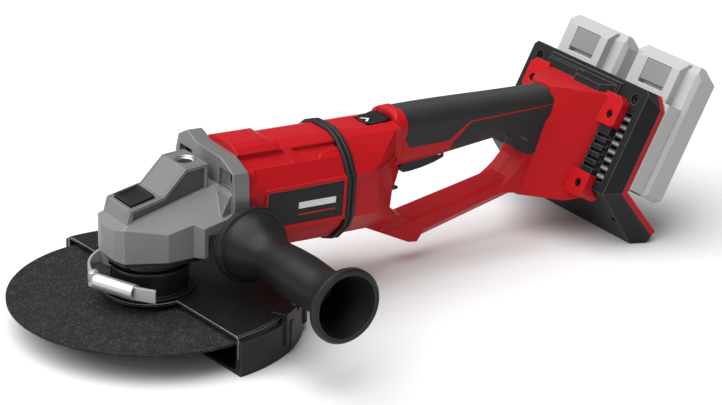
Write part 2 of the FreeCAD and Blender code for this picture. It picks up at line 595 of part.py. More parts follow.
# ---------------------------------------------------------------- rear handle
REAR_FACE = MOTOR_REAR + 2 * RING_THICKNESS + SWIVEL_GAP
SPLIT_X = 236.0                 # the front block hands over to the grip here
FRONT_TOP = [(200, 134.0), (221, 133.6), (229, 138.6), (SPLIT_X + 4, 138.8)]
BAR_LOW = [(254, 19.0), (245, 20.5), (200, 43.5)]
BLOCK_SIDE = [(380, 134.5), (404, 133.5), plate_point(0, -14.5), PLATE_BEND, (411.4, 40.6), (392, 37),
              (346, 42)]
COLUMN_SIDE = [(346, 104), (346, 97), (362, 95), (369.5, 88), (368, 79), (364.5, 71), (356, 62.5),
               (350, 58), (334, 48),
               (362, 42), (392, 37), (411.4, 40.6), PLATE_BEND, plate_point(0, -39.4)]
LUG_PLACES = [(54, -32), (-54, -32), (-54, -97)]    # screws through the lugs, on the frame's face
WEDGE_PLAN = [(395, 0), (395, 14.5), (429, 41), (438, 46.5), (470, 46.5), (470, 0)]
WEDGE_DROP = V(-36.5, 0, -97.5)
GRIP_SECTIONS = [(226, 20.0, 139.8, 91.0), (285, 19.4, 137.6, 93.0), (340, 18.4, 134.0, 96.4),
                 (400, 17.6, 131.0, 97.4)]
SOFT_SKIN = 2.2
TRIGGER_HALF = 13.4
SOFT_UPPER = [(233.5, 160), (231.5, 125), (238.6, 109.5), (280, 108), (302.4, 121.4), (412, 118.8),
              (412, 160)]
SOFT_LOWER = [(283.5, 104.6), (303.5, 120.0), (412, 117.8), (386, 98), (378, 75.6), (366, 76.8), (345, 84.5),
              (283, 84.5)]


def front_block():
    bottom = motor_point(REAR_FACE, -44.6)
    top = motor_point(REAR_FACE, 47.2)
    outline = [top] + FRONT_TOP + [(SPLIT_X + 4, 91.5), (233, 91.5), (228, 82.5), (222.5, 75), (218, 62),
                                   (232, 48.5), (247, 40.8), (262, 30)] + BAR_LOW + [bottom]
    side = side_prism(outline, -60, 60)
    upper = plan_prism(plan_both([(150, 0), (150, 45.6), (186, 45.0), (200, 38.0), (222, 22.8), (244, 19.4),
                                  (244, 0)]), 105.5, 150)
    lower = plan_prism(plan_both([(150, 0), (150, 44.4), (190, 43.4), (206, 33.0), (222, 20.0),
                                  (232, BAR_HALF_WIDTH), (270, BAR_HALF_WIDTH), (270, 0)]), 0, 105.5)
    sections = motor_line(front_prism(both_sides([(0, 47.4), (12, 47.0), (22, 43.6), (34.5, 33.6),
                                                  (45.8, 19.0), (45.8, -16), (14.5, -43.8), (14.5, -90)]),
                                      140, 300))
    tail = box(229.5, 250, -40, 40, 91.2, 160).cut(grip_solid(0))
    return side.common(upper.fuse(lower)).common(sections).cut(tail).removeSplitter()


def grip_solid(inset):
    """Grip with rounded rectangular sections, drawn in by inset all round."""
    wires = []
    for x, half, top, low in GRIP_SECTIONS:
        half, top, low = half - inset, top - inset, low + inset
        corners = [V(x, -half, low), V(x, half, low), V(x, half, top), V(x, -half, top)]
        wires.append(rounded_wire(corners, 0.72 * half))
    return Part.makeLoft(wires, True, False)


def column_solid(inset):
    half = BAR_HALF_WIDTH + 1.3 - inset
    plan = plan_prism(plan_both([(300, 0), (300, half), (470, half), (470, 0)]), 0, 150)
    return side_prism(COLUMN_SIDE, -30, 30).common(plan)


def lower_bar():
    outline = [(225, 56), (232, 48.5), (247, 40.8), (308, 50.2), (350, 58), (358, 64.5), (372, 60), (380, 40),
               (368, 42.3), (254, 19.0), (245, 20.5), (212, 38)]
    side = side_prism(outline, -BAR_HALF_WIDTH, BAR_HALF_WIDTH)
    lower_cut = [extrude(wire([V(200, s * 6.0, 6.6), V(200, s * 30, 6.6), V(200, s * 30, 33.6)]),
                         V(200, 0, 40.9))
                 for s in (1, -1)]
    upper_cut = [extrude(wire([V(200, s * 9.5, 35.4), V(200, s * 25, 35.4), V(200, s * 25, 23.9)]),
                         V(200, 0, 31.0))
                 for s in (1, -1)]
    return side.cut(lower_cut + upper_cut)


def lug_outline(side, low, high):
    """Screw lug beside the block, in the frame's own width and height."""
    half = [(40, high), (58, high), (64, high - 5), (64, low + 3), (61, low), (40, low)]
    return [(side * y, z) for y, z in half]


def battery_block():
    corners = [V(x, y, 134.6) for x, y in plan_both(WEDGE_PLAN)]
    wedge = extrude(wire(corners), WEDGE_DROP)
    block = wedge.common(side_prism(BLOCK_SIDE, -60, 60))
    lugs = [plate_frame(front_prism(lug_outline(side, -42, -14), -9, 0)) for side in (1, -1)]
    lugs.append(plate_frame(front_prism(lug_outline(-1, -96, -86), -9, 0)))
    corners = [(-40, -86), (-64, -86), (-64, -104), (-58, -108), (-40, -108)]
    face = side_prism([(380, 70), (411.2, 70), (402.4, 54), (411.3, 40.5), (380, 30)], -70, 70)
    lugs.append(plate_frame(front_prism(corners, -9, 12)).common(face))
    return block, lugs


def electronics_room():
    """Hollow behind the battery frame, one wall thickness inside the block."""
    plan = plan_both([(399, 0), (399, 10.5), (432.5, 36.5), (470, 36.5)])
    hollow = extrude(wire([V(x, y, 134.6) for x, y in plan]), WEDGE_DROP)
    return hollow.common(plate_frame(box(-34, -3.5, -33, 33, -90, -26)))


def handle_cuts():
    """Rooms inside the rear shell: swivel, wiring, trigger, switch and the battery electronics."""
    cuts = [rod(30.35, V(REAR_FACE - 1, 0, 0), 8.4, X),
            rod(33.9, V(173.9, 0, 0), 5.0, X),
            rod(36.0, V(178.5, 0, 0), 5.0, X),
            turned([(0, 183.4), (36.0, 183.4), (20.0, 203), (0, 203)], V(0, 0, 0), X)]
    cuts = [motor_line(cut) for cut in cuts]
    cuts.append(side_prism([(190, 88), (190, 112), (226, 128), (240, 131), (398, 125), (398, 103),
                            (340, 101.4),
                            (281, 97.6), (281, 94)], -12.6, 12.6))
    cuts.append(box(232.6, 281, -TRIGGER_HALF - 0.4, TRIGGER_HALF + 0.4, 78, 103))
    cuts.append(side_prism([(356, 104), (358, 102.5), (379, 90), (377, 72), (374, 60), (388, 46),
                            (396, 50), (425, 105)],
                           -12.6, 12.6))
    cuts.append(electronics_room())
    button_room = box(BUTTON_MIDDLE_X - 12.6, BUTTON_MIDDLE_X + 12.6, -11.4, 11.4, 124, 150)
    cuts.append(button_room)
    cuts.append(box(205, 235, -5.3, 5.3, NUB_HEIGHT - 3.3, NUB_HEIGHT + 3.3))
    return cuts


BUTTON_MIDDLE_X = 214.0
NUB_HEIGHT = 70.0


SHELL_SCREWS = [(192, 54, 22.0), (197, 120, 31.0), (240, 29, 12.0), (300, 41.0, 12.0), (350, 50.0, 12.0)]
                                # x, z and how far the head's face is from the middle plane


def shell_screw_room():
    rooms = []
    for x, z, reach in SHELL_SCREWS:
        rooms.append(rod(3.5, V(x, reach - 2.4, z), 62.4 - reach, Y))
        rooms.append(rod(1.62, V(x, -8.5, z), 68.5, Y))
    return rooms


def rear_shells():
    block, lugs = battery_block()
    grip = grip_solid(0).cut(Part.makeCompound([soft_layer("upper"), soft_layer("lower")]))
    core = front_block().fuse([grip_trim(grip), lower_bar(), column_core(), block] + lugs)
    collar = side_prism([(222, 120), (224, 134.2), (230.5, 140.6), (237, 140.2), (235.6, 124), (230, 112)],
                        -21, 21)
    collar = collar.common(grip_solid(-1.0))
    core = core.fuse(collar)
    belt = upper_belt()
    core = core.fuse(belt).cut(handle_cuts())
    lug_holes = [plate_frame(fused(rod(2.0, V(-12, y, z), 20, X), rod(3.9, V(-12, y, z), 7.5, X)))
                 for y, z in LUG_PLACES]
    return core.cut(lug_holes + shell_screw_room() + [soft_layer("upper"), lower_pad()]).removeSplitter()


def grip_trim(grip):
    return grip.common(box(224, 407, -40, 40, 60, 160))


def column_skin():
    """Soft boot on the column's sides and front."""
    inside = moved(column_solid(SOFT_SKIN), V(SOFT_SKIN, 0, 1.2))
    return column_solid(0).cut(inside).common(side_prism(SOFT_LOWER, -40, 40))


def column_core():
    return column_solid(0).cut(column_skin())


def soft_layer(which):
    """Soft skin over the grip: the upper sleeve, or the lower pad."""
    region = side_prism(SOFT_UPPER if which == "upper" else SOFT_LOWER, -40, 40)
    return grip_solid(0).cut(grip_solid(SOFT_SKIN)).common(region)


def lower_pad():
    """Soft pad under the grip, running on as a boot over the top of the rear column."""
    return soft_layer("lower").fuse(column_skin().cut(grip_solid(SOFT_SKIN))).removeSplitter()


def upper_belt():
    """Low raised rib where the shoulder meets the lower flank."""
    return plan_prism(plan_both([(175, 0), (175, 45.9), (188, 45.4), (201, 38.6), (222, 24.2), (226, 0)]),
                      105.5, 108)


def rear_handle_parts():
    core = rear_shells()
    for name, side in (("rear_shell_left", 1), ("rear_shell_right", -1)):
        keep(name, core.common(box(140, 480, min(0, side * 90), max(0, side * 90), -5, 170)))
    screws = [screw(3.2, 2.4, 1.6, reach + 5, V(x, reach - 2.4, z), Y) for x, z, reach in SHELL_SCREWS]
    keep("shell_screws", Part.makeCompound(screws))
    keep("grip_sleeve", soft_layer("upper"))
    keep("grip_pad", lower_pad().cut(handle_cuts()).removeSplitter())


# ---------------------------------------------------------------- switch, trigger and buttons
TRIGGER_PIVOT = V(274.5, 0, 96.0)


def control_parts():
    outline = [(234.5, 92.0), (234.5, 87.6), (237.5, 85.6), (245, 85.4), (257, 86.4), (269, 88.4),
               (279.4, 91.4), (279.4, 95.0), (277, 99), (272, 99), (268, 95.6), (238, 95.0)]
    trigger = side_prism(outline, -TRIGGER_HALF, TRIGGER_HALF, 1.6)
    post = box(243, 250, -4, 4, 92, 100.0)
    pivot_hole = rod(2.05, V(TRIGGER_PIVOT.x, -20, TRIGGER_PIVOT.z), 40, Y)
    spring_room = rod(4.0, V(259, 0, 92.0), 12)
    keep("trigger", trigger.fuse(post).cut([pivot_hole, spring_room]).removeSplitter())
    keep("trigger_pin", rod(2.0, V(TRIGGER_PIVOT.x, -TRIGGER_HALF - 0.4, TRIGGER_PIVOT.z),
                            2 * TRIGGER_HALF + 0.8, Y))
    keep("trigger_spring", coil_spring(3.0, 0.4, V(259, 0, 94.6), 10.4, 5))
    body = box(240, 290, -9, 9, 105.5, 124)
    plunger = rod(3.0, V(246.5, 0, 103.8), 2.0)
    keep("switch_module", body.fuse([plunger, box(290, 296, -6, 6, 109, 119)]).removeSplitter())

    nub = side_prism([(213, NUB_HEIGHT - 3), (231.0, NUB_HEIGHT - 3), (239.0, NUB_HEIGHT - 2.2),
                      (239.0, NUB_HEIGHT - 0.4), (230, NUB_HEIGHT + 3), (213, NUB_HEIGHT + 3)], -5, 5)
    keep("lock_off_button", nub.cut(rod(2.6, V(212, 0, NUB_HEIGHT), 4.6, X)))
    keep("lock_off_spring", about(coil_spring(2.0, 0.35, V(0, 0, 0), 6.0, 5), 90, axis=Y)
         .translated(V(206.4, 0, NUB_HEIGHT)))

    cap = plan_prism([(BUTTON_MIDDLE_X - 12.2, -7), (BUTTON_MIDDLE_X - 6.5, -11), (BUTTON_MIDDLE_X + 8, -11),
                      (BUTTON_MIDDLE_X + 12.2, -6), (BUTTON_MIDDLE_X + 12.2, 6), (BUTTON_MIDDLE_X + 8, 11),
                      (BUTTON_MIDDLE_X - 6.5, 11), (BUTTON_MIDDLE_X - 12.2, 7)], 129.5, 136.2, 1.5)
    slope = side_prism([(190, 140), (190, 134.6), (214, 135.2), (219, 136.4), (236, 135.0), (236, 140)],
                       -20, 20)
    keep("swivel_button", cap.cut(slope))
    keep("swivel_button_spring", coil_spring(3.5, 0.4, V(BUTTON_MIDDLE_X, 0, 125.0), 3.6, 3))


# ---------------------------------------------------------------- battery frame and dock
BACK_THICKNESS = 5.0
FRAME_REAR = PLATE_THICKNESS + BACK_THICKNESS
FRAME_SIDE = [plate_point(0, 0), PLATE_BEND, (438.0, 0.0), (450.0, 0.0), (455.2, 6.5),
              plate_point(PLATE_THICKNESS, -90.0), plate_point(PLATE_THICKNESS, 0)]
BACK_SIDE = [plate_point(PLATE_THICKNESS, 0), plate_point(PLATE_THICKNESS, -90.0), (455.2, 6.5), (459.4, 9.8),
             plate_point(FRAME_REAR, -86.8), plate_point(FRAME_REAR, 0)]
BEVEL_RUN = 8.0
CORNER = 11.0
VENT_ROWS, VENT_PITCH, VENT_TOP = 9, 7.7, -26.0
FRAME_SCREWS = [(66.0, -11.5), (-66.0, -11.5)]


def side_bevels():
    """Wedges that slope the frame's side faces on both arms of its bent shape."""
    wedges = []
    half = PLATE_HALF_WIDTH
    for s in (1, -1):
        corners = [V(-1, s * (half - BEVEL_RUN), -130), V(-1, s * (half + 4), -130),
                   V(PLATE_THICKNESS, s * (half + 4), -130), V(PLATE_THICKNESS, s * half, -130)]
        upper = plate_frame(extrude(wire(corners), V(0, 0, 150)))
        wedges.append(upper.common(side_prism([(380, 54), (420, 54), (480, 150), (380, 150)], -100, 100)))
        lower = moved(about(extrude(wire(corners), V(0, 0, 200)), -33.2, axis=Y), V(402.6, 0, 54.0))
        wedges.append(lower.common(side_prism([(380, 54), (420, 54), (480, -5), (380, -5)], -100, 100)))
    return wedges


def vent_slots(inner, outer):
    """Two rows of slots through the frame, the same distance either side of the middle."""
    slots = []
    for row in range(VENT_ROWS):
        height = VENT_TOP - row * VENT_PITCH
        for y0, y1 in ((inner, outer), (-outer, -inner)):
            slots.append(plate_frame(box(-2, FRAME_REAR + 2, y0, y1, height - 1.3, height + 1.3)))
    return slots


def battery_frame():
    half = PLATE_HALF_WIDTH
    frame = side_prism(FRAME_SIDE, -half, half)
    corner_cuts = []
    for s in (1, -1):
        corners = [V(-5, s * (half - CORNER), 0), V(-5, s * (half + 5), 5), V(-5, s * half, -CORNER)]
        corner_cuts.append(plate_frame(extrude(wire(corners), V(30, 0, 0))))
    raised = plan_prism([(1, -45), (-12, -31), (-12, 1), (-5.5, 4), (-5.5, 48), (1, 50)], -40, -4)
    slope = side_prism([(1, -5), (-12, -12.5), (-12, -40), (1, -40)], -60, 60)
    raised = plate_frame(raised.common(slope).cut(box(-9, -4, 2, 8, -16, 0)))
    pad = plate_frame(box(-2.5, 0, -46, 50, -36, -3.5))
    block, lugs = battery_block()
    frame = frame.cut(side_bevels() + corner_cuts).fuse([raised.cut([block] + lugs), pad.cut([block] + lugs)])
    cuts = vent_slots(50.5, 59.5) + vent_slots(62.5, 71.5)
    cuts.append(plate_frame(box(2.5, 16, -45, 45, -86, -4)))
    for y, height in FRAME_SCREWS:
        cuts.append(plate_frame(rod(4.6, V(-1, y, height), 5.0, X)))
        cuts.append(plate_frame(rod(2.2, V(-1, y, height), 20.0, X)))
    cuts += [plate_frame(rod(1.92, V(-1, y, z), 6.0, X)) for y, z in LUG_PLACES]
    for s in (1, -1):
        slot = extrude(wire([V(400, s * 76, 27), V(400, s * 68, 25), V(400, s * 74, 20)]), V(60, 0, 0))
        cuts.append(slot)
    return frame.cut(cuts).removeSplitter()


def battery_back():
    half = PLATE_HALF_WIDTH
    back = side_prism(BACK_SIDE, -half, half)
    for s in (1, -1):
        corners = [V(5, s * (half - CORNER), 0), V(5, s * (half + 5), 5), V(5, s * half, -CORNER)]
        back = back.cut(plate_frame(extrude(wire(corners), V(30, 0, 0))))
    return back.cut(vent_slots(62.5, 71.5))


def pack_centres():
    return [PACK_PITCH / 2, -PACK_PITCH / 2]


def dock_parts():
    rails, blades = [], []
    for centre in pack_centres():
        for s in (1, -1):
            web = box(FRAME_REAR, FRAME_REAR + 8, -1.5, 1.5, -78, -6)
            foot = box(FRAME_REAR + 5, FRAME_REAR + 8, min(0, -s * 5.5), max(0, -s * 5.5), -78, -6)
            rails.append(moved(web.fuse(foot), V(0, centre + s * RAIL_HALF, 0)))
        for offset in (-12, 0, 12):
            blades.append(box(FRAME_REAR - 3.0, FRAME_REAR + 6.5, centre + offset - 0.5,
                              centre + offset + 0.5,
                              -66, -52))
    keep("battery_frame", battery_frame())
    keep("battery_back", battery_back().cut([plate_frame(blade) for blade in blades]))
    keep("dock_rails", Part.makeCompound([plate_frame(rail).removeSplitter() for rail in rails]))
    keep("battery_terminals", Part.makeCompound([plate_frame(blade) for blade in blades]))
    grilles = []
    for s in (1, -1):
        block = box(-6.5, 0, min(s * 46.5, s * 61), max(s * 46.5, s * 61), -85.6, -42.4)
        slits = [box(-7, -1.5, min(s * 48, s * 62), max(s * 48, s * 62), z, z + 3.4)
                 for z in (-81, -74, -67, -60, -53)]
        grilles.append(plate_frame(block.cut(slits)))
    keep("vent_grilles", Part.makeCompound(grilles))
    frame_screws = [plate_frame(screw(4.2, 2.4, 2.1, 8.5, V(4.0, y, z), -X)) for y, z in FRAME_SCREWS]
    lug_screws = [plate_frame(screw(3.5, 2.6, 1.9, 9.0, V(-4.5, y, z), -X)) for y, z in LUG_PLACES]
    keep("frame_screws", Part.makeCompound(frame_screws + lug_screws))
    board = plate_frame(box(-14, -12.4, -24, 24, -78, -30))
    chips = [plate_frame(box(-16.4, -14, y, y + 9, z, z + 7)) for y in (-18, -4, 10) for z in (-60, -48, -36)]
    keep("controller_board", board.fuse(chips).common(electronics_room()))


# ---------------------------------------------------------------- battery packs
RAIL_HALF = 29.0
PACK_FRONT, BODY_FRONT, PACK_REAR = 19.6, 35.0, 61.5        # behind the frame's front face
PACK_BOTTOM, SHOE_TOP, PACK_TOP = -86.0, -4.0, 37.0
CELL_RADIUS, CELL_LENGTH = 9.15, 65.0


def pack_case(centre):
    """Pack with a rail shoe, a button block and a cavity for one row of cells."""
    half = PACK_WIDTH / 2
    side = [(BODY_FRONT, PACK_BOTTOM), (PACK_REAR - 6, PACK_BOTTOM - 1), (PACK_REAR, PACK_BOTTOM + 5),
            (PACK_REAR, 23.5), (46, PACK_TOP - 0.5), (40.5, PACK_TOP), (BODY_FRONT, PACK_TOP - 7)]
    face = front_prism([(-half, PACK_BOTTOM + 4), (-half + 6, PACK_BOTTOM - 1), (half - 6, PACK_BOTTOM - 1),
                        (half, PACK_BOTTOM + 4), (half, PACK_TOP - 10), (half - 7, PACK_TOP),
                        (-half + 7, PACK_TOP), (-half, PACK_TOP - 10)], 0, 120)
    plan = plan_prism([(BODY_FRONT, -half + 4), (BODY_FRONT + 4, -half), (PACK_REAR - 4, -half),
                       (PACK_REAR, -half + 5), (PACK_REAR, half - 5), (PACK_REAR - 4, half),
                       (BODY_FRONT + 4, half), (BODY_FRONT, half - 4)], -100, 60)
    body = side_prism(side, -half, half).common(face).common(plan)
    shoe = plan_prism([(PACK_FRONT, -half + 3), (BODY_FRONT, -half + 3), (BODY_FRONT, half - 3),
                       (PACK_FRONT, half - 3)],
                      PACK_BOTTOM + 2, SHOE_TOP)
    block = side_prism([(27, SHOE_TOP), (27, 27), (35, PACK_TOP - 2), (42, PACK_TOP - 2), (42, SHOE_TOP)],
                       -26, 26)
    body = body.fuse([shoe, block])
    cuts = [box(BODY_FRONT + 2.4, PACK_REAR - 2.4, -half + 2.4, half - 2.4, PACK_BOTTOM + 2,
                PACK_BOTTOM + 98)]
    for s in (1, -1):
        channel = box(PACK_FRONT - 1, PACK_FRONT + 5.0, -2.1, 2.1, PACK_BOTTOM - 1, -5)
        undercut = box(PACK_FRONT + 3.8, PACK_FRONT + 8.2, min(s * 2.1, -s * 6.3), max(s * 2.1, -s * 6.3),
                       PACK_BOTTOM - 1, -5)
        cuts.append(moved(channel.fuse(undercut), V(0, s * RAIL_HALF, 0)))
    for offset in (-12, 0, 12):
        cuts.append(box(PACK_FRONT - 1, PACK_FRONT + 7.5, offset - 1.2, offset + 1.2, PACK_BOTTOM - 1, -50.5))
    cuts.append(box(26, 33.5, -16, 16, 4.0, 26.5))
    return plate_frame(moved(body.cut(cuts).removeSplitter(), V(0, centre, 0)))


def pack_latch(centre):
    button = front_prism([(-15.7, 7.4), (15.7, 7.4), (15.7, 26.2), (-15.7, 26.2)], 27.4, 33.2, 1.5)
    return plate_frame(moved(button, V(0, centre, 0)))


def pack_parts():
    for name, centre in zip(("left", "right"), pack_centres()):
        keep("pack_%s_case" % name, pack_case(centre))
        cells = [rod(CELL_RADIUS, V((BODY_FRONT + PACK_REAR) / 2, centre - CELL_LENGTH / 2,
                                    PACK_BOTTOM + 12 + 18.6 * i), CELL_LENGTH, Y) for i in range(5)]
        keep("pack_%s_cells" % name, plate_frame(Part.makeCompound(cells)))
        keep("pack_%s_latch" % name, pack_latch(centre))


# ---------------------------------------------------------------- build and write
def write_all():
    os.makedirs("parts", exist_ok=True)
    box_all = Part.makeCompound(list(parts.values())).optimalBoundingBox(False, False)
    shift = V(-(box_all.XMin + box_all.XMax) / 2, -(box_all.YMin + box_all.YMax) / 2, -box_all.ZMin)
    for name, shape in parts.items():
        moved(shape, shift).exportStep("parts/%s.step" % name)
    print("pieces %d, shift %.3f %.3f %.3f" % (len(parts), shift.x, shift.y, shift.z))
    print("size %.1f %.1f %.1f" % (box_all.XLength, box_all.YLength, box_all.ZLength))


head_parts()
spindle_parts()
lock_parts()
guard_parts()
side_handle_parts()
motor_parts()
rear_handle_parts()
control_parts()
dock_parts()
pack_parts()
write_all()
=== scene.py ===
"""Looks of the two-battery angle grinder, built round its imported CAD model.

Lengths in the helpers are in millimetres in the CAD's working frame: the spindle axis is X = Y = 0
and the floor is Z = 0.  at() turns such a point into a place in the scene, in metres.
"""
import math

import bmesh
import bpy
from mathutils import Matrix, Vector


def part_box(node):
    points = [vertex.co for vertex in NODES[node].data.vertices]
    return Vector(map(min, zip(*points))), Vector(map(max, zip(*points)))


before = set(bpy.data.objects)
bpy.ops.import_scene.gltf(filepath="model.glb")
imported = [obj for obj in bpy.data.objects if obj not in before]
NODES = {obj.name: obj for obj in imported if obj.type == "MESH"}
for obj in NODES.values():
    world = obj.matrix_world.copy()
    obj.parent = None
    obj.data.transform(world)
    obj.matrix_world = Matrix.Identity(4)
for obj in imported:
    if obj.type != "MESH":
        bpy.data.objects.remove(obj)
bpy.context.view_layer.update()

MM = 0.001
_low, _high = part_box("spindle")
SPINDLE = Vector(((_low.x + _high.x) / 2, (_low.y + _high.y) / 2, 0.0))

MOTOR_TILT = math.radians(3.0)
MOTOR_HEIGHT = 98.3
PLATE_TILT = math.radians(28.0)
PLATE_TOP = (448.4, 0.0, 139.8)
MOTOR_AXIS = (math.cos(MOTOR_TILT), 0.0, -math.sin(MOTOR_TILT))
MOTOR_UP = (math.sin(MOTOR_TILT), 0.0, math.cos(MOTOR_TILT))
MOTOR_START = (0.0, 0.0, MOTOR_HEIGHT)
PLATE_UP = (math.sin(PLATE_TILT), 0.0, math.cos(PLATE_TILT))

AXIS_X, AXIS_Y, AXIS_Z = (1.0, 0.0, 0.0), (0.0, 1.0, 0.0), (0.0, 0.0, 1.0)

RED = (0.42, 0.006, 0.010)
BLACK = (0.007, 0.007, 0.008)
NOISE_BAND = (0.3, 0.7)         # most of a noise texture's values lie between these

PACK_MIDDLE = 48.5              # distance of a pack's middle from the middle plane
VENT_TOP, VENT_LOW = -26.0, -87.0
VENT_PITCH = 7.7
VENT_BAR_SIDE = (62.5, 71.5)
LABEL_LENGTH = (112.0, 148.0)
SWIVEL_MARK = (207.0, 0.0, 0.0)
TOP_SOCKET = (32.5, 0.0)
SIDE_BOSS = (59.2, 75.5)


def at(x, y, z):
    """Place in the scene of a point given in millimetres in the working frame."""
    return SPINDLE + Vector((x, y, z)) * MM


# ---------------------------------------------------------------- node helpers
class Shader:
    """A node material under construction, with short names for what the materials below share."""

    def __init__(self, name, colour, roughness, metallic=0.0):
        self.material = bpy.data.materials.new(name)
        self.material.use_nodes = True
        self.tree = self.material.node_tree
        self.surface = self.tree.nodes["Principled BSDF"]
        self.surface.inputs["Base Color"].default_value = (*colour, 1.0)
        self.surface.inputs["Roughness"].default_value = roughness
        self.surface.inputs["Metallic"].default_value = metallic
        self.place = self.add("ShaderNodeTexCoord").outputs["Object"]
        self.base = (*colour,)
        self.normal = None

    def add(self, kind, **settings):
        node = self.tree.nodes.new(kind)
        for key, value in settings.items():
            setattr(node, key, value)
        return node

    def link(self, source, target):
        self.tree.links.new(source, target)

    def noise(self, scale, detail=3.0, roughness=0.55, stretch=None):
        node = self.add("ShaderNodeTexNoise")
        node.inputs["Scale"].default_value = scale
        node.inputs["Detail"].default_value = detail
        node.inputs["Roughness"].default_value = roughness
        self.link(self.stretched(stretch), node.inputs["Vector"])
        return node.outputs["Fac"]

    def stretched(self, scale):
        if scale is None:
            return self.place
        node = self.add("ShaderNodeMapping")
        node.inputs["Scale"].default_value = scale
        self.link(self.place, node.inputs["Vector"])
        return node.outputs["Vector"]

    def range(self, value, low, high, to_low, to_high):
        node = self.add("ShaderNodeMapRange")
        limits = {"From Min": low, "From Max": high, "To Min": to_low, "To Max": to_high}
        for key, number in limits.items():
            node.inputs[key].default_value = number
        self.link(value, node.inputs["Value"])
        return node.outputs["Result"]

    def mix(self, factor, first, second):
        node = self.add("ShaderNodeMix", data_type="RGBA")
        self.link(factor, node.inputs[0])
        for socket, colour in ((node.inputs[6], first), (node.inputs[7], second)):
            if isinstance(colour, tuple):
                socket.default_value = (*colour, 1.0)
            else:
                self.link(colour, socket)
        return node.outputs[2]

    def colour(self, source):
        self.base = source
        self.link(source, self.surface.inputs["Base Color"])

    def calculate(self, operation, first, second):
        """Result of one arithmetic operation on numbers or sockets."""
        node = self.add("ShaderNodeMath", operation=operation)
        for socket, value in zip(node.inputs, (first, second)):
            if isinstance(value, (int, float)):
                socket.default_value = value
            else:
                self.link(value, socket)
        return node.outputs[0]

    def along(self, axis, origin=(0.0, 0.0, 0.0)):
        """Distance in mm of the shaded point from an origin in the working frame, along an axis."""
        start = self.add("ShaderNodeVectorMath", operation="SUBTRACT")
        self.link(self.place, start.inputs[0])
        start.inputs[1].default_value = at(*origin)
        dot = self.add("ShaderNodeVectorMath", operation="DOT_PRODUCT")
        self.link(start.outputs["Vector"], dot.inputs[0])
        dot.inputs[1].default_value = Vector(axis) * 1000.0
        return dot.outputs["Value"]

    def span(self, value, low, high):
        """1 where the value lies between low and high, else 0."""
        node = self.add("ShaderNodeMath", operation="COMPARE")
        self.link(value, node.inputs[0])
        node.inputs[1].default_value = (low + high) / 2
        node.inputs[2].default_value = (high - low) / 2
        return node.outputs[0]

    def both(self, *masks):
        whole = masks[0]
        for mask in masks[1:]:
            whole = self.calculate("MULTIPLY", whole, mask)
        return whole

    def round_span(self, first, second, centre, low, high):
        """1 where the point's distance from a centre, in the plane of two lengths, lies in a range."""
        squares = []
        for value, middle in ((first, centre[0]), (second, centre[1])):
            offset = self.calculate("SUBTRACT", value, middle)
            squares.append(self.calculate("MULTIPLY", offset, offset))
        reach = self.calculate("SQRT", self.calculate("ADD", *squares), 0.0)
        return self.span(reach, low, high)

    def paint(self, mask, colour):
        self.colour(self.mix(mask, self.base, colour))

    def polish(self, mask, roughness, metallic=None):
        """Gives the masked places their own roughness, and metal if asked."""
        for name, value in (("Roughness", roughness), ("Metallic", metallic)):
            if value is None:
                continue
            socket = self.surface.inputs[name]
            node = self.add("ShaderNodeMix", data_type="FLOAT")
            self.link(mask, node.inputs[0])
            if socket.is_linked:
                self.link(socket.links[0].from_socket, node.inputs[2])
            else:
                node.inputs[2].default_value = socket.default_value
            node.inputs[3].default_value = value
            self.link(node.outputs[0], socket)

    def paint_edge_highlights(self, colour, amount):
        """Paints a highlight on the rounded edges, convex and concave alike, where the bevel normal parts
        from the flat normal.
        """
        flat = self.add("ShaderNodeNewGeometry").outputs["Normal"]
        dot = self.add("ShaderNodeVectorMath", operation="DOT_PRODUCT")
        self.link(flat, dot.inputs[0])
        self.link(self.normal, dot.inputs[1])
        self.paint(self.range(dot.outputs["Value"], 0.995, 0.93, 0.0, amount), colour)

    def vary_roughness(self, noise, low, high):
        """Roughness that drifts between two values with a noise."""
        self.link(self.range(noise, *NOISE_BAND, low, high), self.surface.inputs["Roughness"])

    def round_edges(self, radius_mm):
        node = self.add("ShaderNodeBevel", samples=6)
        node.inputs["Radius"].default_value = radius_mm * MM
        self.normal = node.outputs["Normal"]
        self.link(self.normal, self.surface.inputs["Normal"])

    def bump(self, height, strength, distance_mm):
        node = self.add("ShaderNodeBump")
        node.inputs["Strength"].default_value = strength
        node.inputs["Distance"].default_value = distance_mm * MM
        self.link(height, node.inputs["Height"])
        if self.normal is not None:
            self.link(self.normal, node.inputs["Normal"])
        self.normal = node.outputs["Normal"]
        self.link(self.normal, self.surface.inputs["Normal"])


def moulded(name, colour, roughness, grain_mm, grain=0.35, edge_mm=0.8, spread=0.12, edge=None):
    """Moulded plastic: fine spark-eroded grain, slight drift in tone and, if asked, a painted highlight on
    the rounded edges.
    """
    s = Shader(name, colour, roughness)
    s.surface.inputs["Specular IOR Level"].default_value = 0.24
    drift = s.noise(22.0, 2.0)
    lighter = tuple(min(1.0, c * (1 + spread) + 0.002) for c in colour)
    darker = tuple(c * (1 - spread) for c in colour)
    s.colour(s.mix(drift, darker, lighter))
    s.vary_roughness(s.noise(90.0, 4.0), roughness - 0.05, roughness + 0.07)
    s.round_edges(edge_mm)
    # edge, if given, is the colour and strength of a highlight painted on the rounded edges.
    if edge:
        s.paint_edge_highlights(*edge)
    s.bump(s.noise(1000.0 / grain_mm, 3.0, 0.6), grain, 0.06)
    return s


def red_plastic():
    # The last argument paints a dark-red highlight on the rounded edges.
    s = moulded("red_plastic", RED, 0.36, 0.45, 0.16, 1.6, 0.05, ((0.55, 0.03, 0.03), 0.35))
    s.surface.inputs["Specular IOR Level"].default_value = 0.13
    return s.material


def black_plastic():
    # The last argument paints a grey highlight on the rounded edges.
    return moulded("black_plastic", BLACK, 0.42, 0.35, 0.35, 0.9, 0.2, ((0.09, 0.09, 0.09), 0.5)).material


